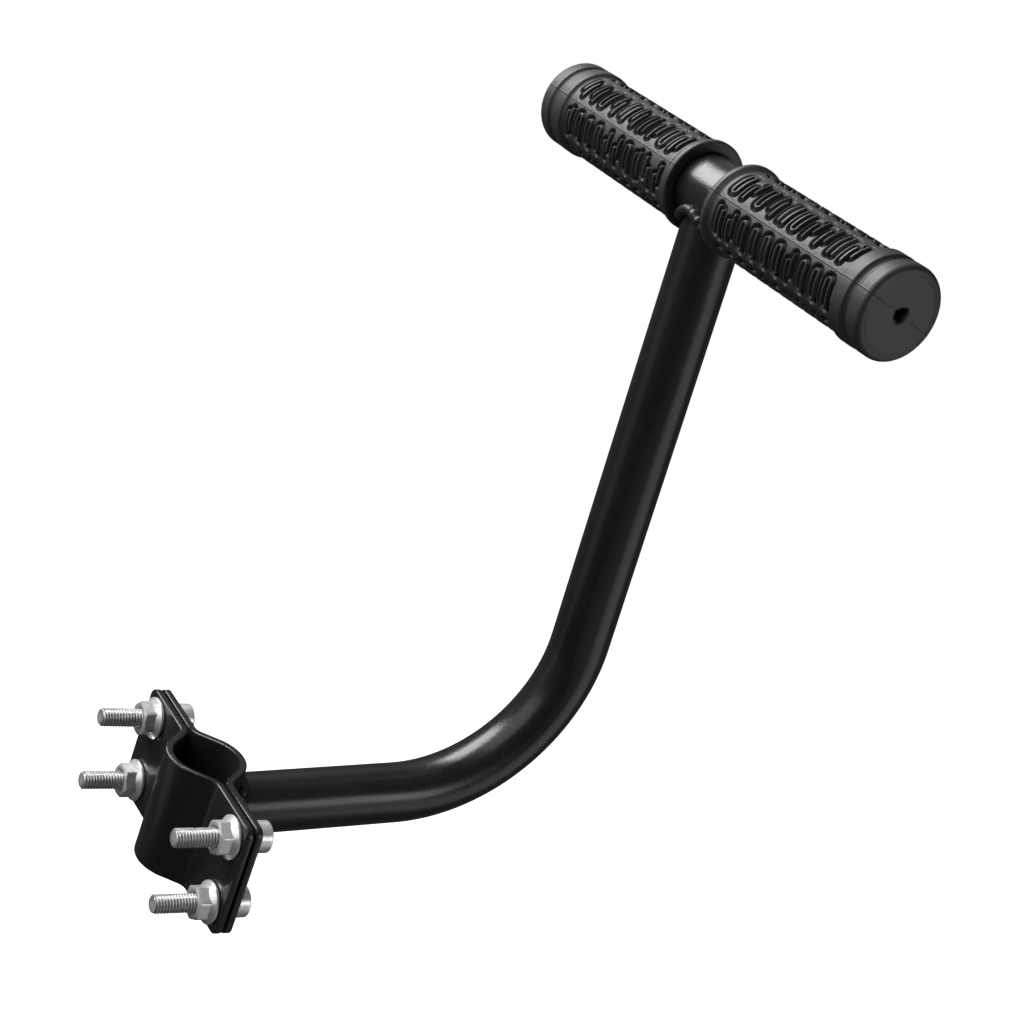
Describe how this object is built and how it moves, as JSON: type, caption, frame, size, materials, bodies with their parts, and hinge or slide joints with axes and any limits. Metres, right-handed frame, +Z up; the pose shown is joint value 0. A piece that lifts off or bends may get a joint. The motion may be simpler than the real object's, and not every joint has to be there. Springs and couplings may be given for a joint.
{
  "type": "clamp-on grab handle",
  "caption": "Bent tube grab handle: a bolted plate clamp for a round stem at one end, a cross bar with rubber grips at the other.",
  "frame": {"origin": "centre of the clamp's bore, midway between the two plates and midway up them", "axes": "+Z up along the clamped stem, +X from the clamp towards the arm, +Y along the cross bar to the left grip"},
  "size_m": [0.158, 0.1796, 0.2593],
  "materials": {
    "black_paint": "satin",
    "painted_weld": "satin",
    "black_rubber": "matte",
    "zinc_plate": "zinc plated"
  },
  "bodies": {
    "handle": {"arm_tube": "black_paint", "cross_tube": "black_paint", "saddle_plate": "black_paint", "weld_bead_saddle": "painted_weld", "weld_bead_bar_outer": "painted_weld", "weld_bead_bar_inner": "painted_weld", "grip_left": "black_rubber", "grip_right": "black_rubber"},
    "clamp_cap": {"clamp_cap": "black_paint"},
    "bolt_1": {"bolt_1": "zinc_plate"},
    "bolt_2": {"bolt_2": "zinc_plate"},
    "bolt_3": {"bolt_3": "zinc_plate"},
    "bolt_4": {"bolt_4": "zinc_plate"},
    "nut_1": {"nut_1": "zinc_plate"},
    "nut_2": {"nut_2": "zinc_plate"},
    "nut_3": {"nut_3": "zinc_plate"},
    "nut_4": {"nut_4": "zinc_plate"}
  },
  "joints": [
    {"name": "cap_slide", "type": "slide", "parent": "handle", "child": "clamp_cap", "axis": [-1, 0, 0], "range_m": [-0.0004, 0.012]},
    {"name": "bolt_1_turn", "type": "hinge", "parent": "handle", "child": "bolt_1", "pos_m": [0.00287, 0.0328, 0.012], "axis": [1, 0, 0], "continuous": true},
    {"name": "bolt_2_turn", "type": "hinge", "parent": "handle", "child": "bolt_2", "pos_m": [0.00287, 0.0328, -0.012], "axis": [1, 0, 0], "continuous": true},
    {"name": "bolt_3_turn", "type": "hinge", "parent": "handle", "child": "bolt_3", "pos_m": [0.00287, -0.0328, 0.012], "axis": [1, 0, 0], "continuous": true},
    {"name": "bolt_4_turn", "type": "hinge", "parent": "handle", "child": "bolt_4", "pos_m": [0.00287, -0.0328, -0.012], "axis": [1, 0, 0], "continuous": true},
    {"name": "nut_1_thread", "type": "hinge", "parent": "clamp_cap", "child": "nut_1", "pos_m": [-0.00287, 0.0328, 0.012], "axis": [-1, 0, 0], "range_deg": [-150, 4330]},
    {"name": "nut_2_thread", "type": "hinge", "parent": "clamp_cap", "child": "nut_2", "pos_m": [-0.00287, 0.0328, -0.012], "axis": [-1, 0, 0], "range_deg": [-150, 4330]},
    {"name": "nut_3_thread", "type": "hinge", "parent": "clamp_cap", "child": "nut_3", "pos_m": [-0.00287, -0.0328, 0.012], "axis": [-1, 0, 0], "range_deg": [-150, 4330]},
    {"name": "nut_4_thread", "type": "hinge", "parent": "clamp_cap", "child": "nut_4", "pos_m": [-0.00287, -0.0328, -0.012], "axis": [-1, 0, 0], "range_deg": [-150, 4330]}
  ],
  "couplings": [
    {"joint": "nut_1_thread", "follows": "cap_slide", "rad_per_m": 6283.2},
    {"joint": "nut_2_thread", "follows": "cap_slide", "rad_per_m": 6283.2},
    {"joint": "nut_3_thread", "follows": "cap_slide", "rad_per_m": 6283.2},
    {"joint": "nut_4_thread", "follows": "cap_slide", "rad_per_m": 6283.2}
  ]
}
